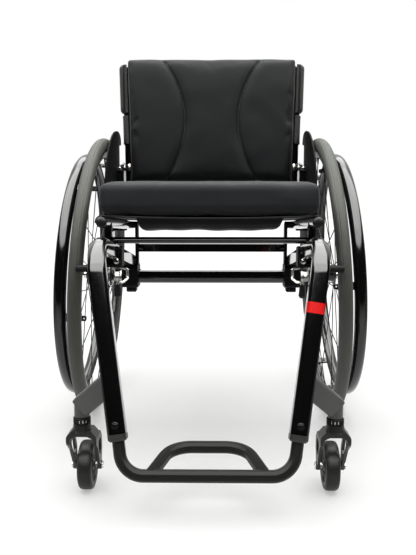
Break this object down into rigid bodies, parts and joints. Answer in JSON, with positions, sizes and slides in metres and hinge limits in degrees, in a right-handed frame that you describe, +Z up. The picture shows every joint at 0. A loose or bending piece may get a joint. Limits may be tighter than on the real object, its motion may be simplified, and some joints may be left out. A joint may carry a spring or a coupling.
{
  "type": "active wheelchair",
  "caption": "Rigid tube-frame active wheelchair with cambered rear wheels, trailing castors, tubular footrest, scissor brakes and a folding back.",
  "frame": {"origin": "on the floor, at the centre of the bounding box", "axes": "+Z up, the chair faces -Y, +X is the right-hand side for a viewer who stands in front of the chair; right and left in the node names are that viewer's"},
  "size_m": [0.6036, 0.8416, 0.7706],
  "materials": {
    "frame_black": "gloss black powder coat",
    "arm_grey": "satin dark grey paint",
    "black_plastic": "matt black moulding",
    "aluminium": "satin",
    "tyre_rubber": "matt",
    "castor_rubber": "soft matt",
    "fabric": "woven, matt",
    "gloss_rim": "high gloss black",
    "spoke_black": "black"
  },
  "bodies": {
    "chair": {"side_frame_right": "frame_black", "side_frame_left": "frame_black", "castor_arm_right": "arm_grey", "castor_arm_left": "arm_grey", "axle_plate_right": "frame_black", "axle_plate_left": "frame_black", "camber_insert_right": "aluminium", "camber_insert_left": "aluminium", "quick_release_pin_right": "aluminium", "quick_release_pin_left": "aluminium", "footrest_collar_right": "black_plastic", "footrest_collar_left": "black_plastic", "side_guard_right": "black_plastic", "side_guard_left": "black_plastic", "back_plate_right": "frame_black", "back_plate_left": "frame_black", "back_pivot_bolt_right": "aluminium", "back_pivot_bolt_left": "aluminium", "brake_body_right": "black_plastic", "brake_body_left": "black_plastic", "castor_head_ring_right": "black_plastic", "castor_head_ring_left": "black_plastic", "axle_tube": "frame_black", "seat_frame": "frame_black", "rear_cross_bar": "frame_black", "footrest_frame": "black_plastic", "seat_sling": "fabric", "seat_cushion": "fabric"},
    "back": {"back_frame": "frame_black", "back_sling": "fabric", "back_cushion": "fabric"},
    "latch_right": {"back_latch_right": "aluminium"},
    "wheel_right": {"wheel_tyre_right": "tyre_rubber", "wheel_rim_right": "gloss_rim", "wheel_hub_right": "spoke_black", "handrim_right": "gloss_rim"},
    "button_right": {"axle_button_right": "black_plastic"},
    "fork_right": {"castor_fork_right": "black_plastic", "castor_axle_right": "aluminium"},
    "castor_right": {"castor_tyre_right": "castor_rubber", "castor_core_right": "black_plastic"},
    "brake_arm_right": {"brake_arm_right": "aluminium", "brake_shoe_right": "tyre_rubber"},
    "brake_lever_right": {"brake_lever_right": "aluminium", "brake_grip_right": "black_plastic"},
    "latch_left": {"back_latch_left": "aluminium"},
    "wheel_left": {"wheel_tyre_left": "tyre_rubber", "wheel_rim_left": "gloss_rim", "wheel_hub_left": "spoke_black", "handrim_left": "gloss_rim"},
    "button_left": {"axle_button_left": "black_plastic"},
    "fork_left": {"castor_fork_left": "black_plastic", "castor_axle_left": "aluminium"},
    "castor_left": {"castor_tyre_left": "castor_rubber", "castor_core_left": "black_plastic"},
    "brake_arm_left": {"brake_arm_left": "aluminium", "brake_shoe_left": "tyre_rubber"},
    "brake_lever_left": {"brake_lever_left": "aluminium", "brake_grip_left": "black_plastic"}
  },
  "joints": [
    {"name": "back_fold", "type": "hinge", "parent": "chair", "child": "back", "pos_m": [0, 0.20095, 0.529], "axis": [1, 0, 0], "range_deg": [0, 88]},
    {"name": "wheel_spin_right", "type": "hinge", "parent": "chair", "child": "wheel_right", "pos_m": [0.2434, 0.12595, 0.29461], "axis": [0.9986, 0, 0.0523], "continuous": true},
    {"name": "axle_release_right", "type": "slide", "parent": "chair", "child": "button_right", "axis": [-0.9986, 0, -0.0523], "range_m": [0, 0.003], "stiffness_N_per_m": 400},
    {"name": "back_latch_right", "type": "slide", "parent": "back", "child": "latch_right", "axis": [-1, 0, 0], "range_m": [0, 0.0085], "stiffness_N_per_m": 300},
    {"name": "castor_swivel_right", "type": "hinge", "parent": "chair", "child": "fork_right", "pos_m": [0.1962, -0.34605, 0.12], "axis": [0, 0, 1], "continuous": true},
    {"name": "castor_spin_right", "type": "hinge", "parent": "fork_right", "child": "castor_right", "pos_m": [0.1962, -0.30855, 0.0393], "axis": [1, 0, 0], "continuous": true},
    {"name": "brake_arm_right", "type": "hinge", "parent": "chair", "child": "brake_arm_right", "pos_m": [0.19, -0.14205, 0.34], "axis": [0, 0, 1], "range_deg": [-66, 0]},
    {"name": "brake_lever_right", "type": "hinge", "parent": "chair", "child": "brake_lever_right", "pos_m": [0.168, -0.12405, 0.34], "axis": [0, 0, 1], "range_deg": [0, 60]},
    {"name": "wheel_spin_left", "type": "hinge", "parent": "chair", "child": "wheel_left", "pos_m": [-0.2434, 0.12595, 0.29461], "axis": [-0.9986, 0, 0.0523], "continuous": true},
    {"name": "axle_release_left", "type": "slide", "parent": "chair", "child": "button_left", "axis": [0.9986, 0, -0.0523], "range_m": [0, 0.003], "stiffness_N_per_m": 400},
    {"name": "back_latch_left", "type": "slide", "parent": "back", "child": "latch_left", "axis": [1, 0, 0], "range_m": [0, 0.0085], "stiffness_N_per_m": 300},
    {"name": "castor_swivel_left", "type": "hinge", "parent": "chair", "child": "fork_left", "pos_m": [-0.1962, -0.34605, 0.12], "axis": [0, 0, 1], "continuous": true},
    {"name": "castor_spin_left", "type": "hinge", "parent": "fork_left", "child": "castor_left", "pos_m": [-0.1962, -0.30855, 0.0393], "axis": [1, 0, 0], "continuous": true},
    {"name": "brake_arm_left", "type": "hinge", "parent": "chair", "child": "brake_arm_left", "pos_m": [-0.19, -0.14205, 0.34], "axis": [0, 0, 1], "range_deg": [0, 66]},
    {"name": "brake_lever_left", "type": "hinge", "parent": "chair", "child": "brake_lever_left", "pos_m": [-0.168, -0.12405, 0.34], "axis": [0, 0, 1], "range_deg": [-60, 0]}
  ],
  "couplings": [
    {"joint": "brake_lever_right", "follows": "brake_arm_right", "ratio": -0.9},
    {"joint": "brake_lever_left", "follows": "brake_arm_left", "ratio": -0.9}
  ]
}
